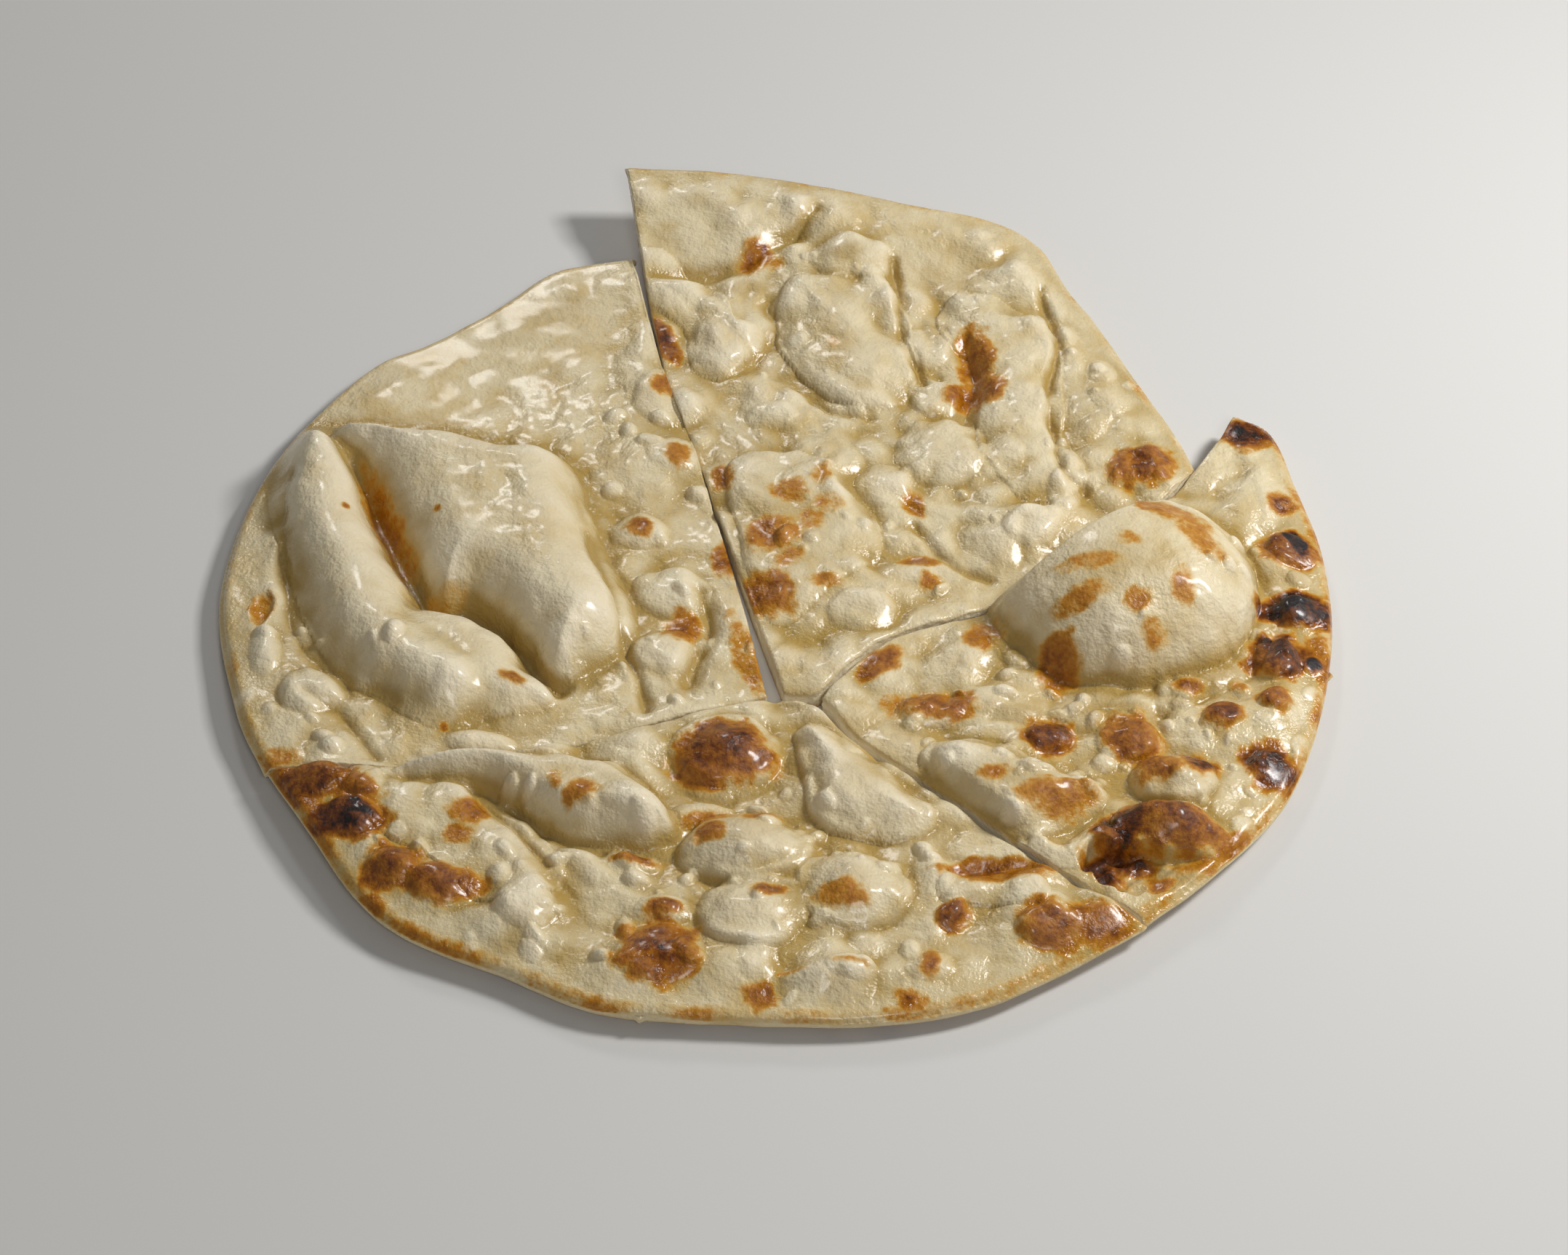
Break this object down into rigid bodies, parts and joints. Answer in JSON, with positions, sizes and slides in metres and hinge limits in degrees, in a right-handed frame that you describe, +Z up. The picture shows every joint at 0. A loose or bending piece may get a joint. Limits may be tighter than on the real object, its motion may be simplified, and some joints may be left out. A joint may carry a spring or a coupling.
{
  "type": "naan bread",
  "caption": "Round flatbread with blown bubbles, browned blisters and a thin charred rim, brushed with butter and cut crosswise into wedges that lie together.",
  "frame": {"origin": "the middle of the loaf's box, on the plane of its flat underside", "axes": "+Z up out of the buttered side; -Y towards the person eating, +X to their right"},
  "size_m": [0.2986, 0.3169, 0.0271],
  "materials": {
    "left_crust": "baked dough, matt on the puffs and glossy with butter in the hollows",
    "back_crust": "baked dough, matt on the puffs and glossy with butter in the hollows",
    "right_crust": "baked dough with browned and charred blisters, glossy with butter",
    "front_crust": "baked dough with browned and charred blisters, glossy with butter"
  },
  "bodies": {
    "root": {"left_quarter": "left_crust", "back_quarter": "back_crust", "right_quarter": "right_crust", "front_quarter": "front_crust"}
  },
  "joints": []
}
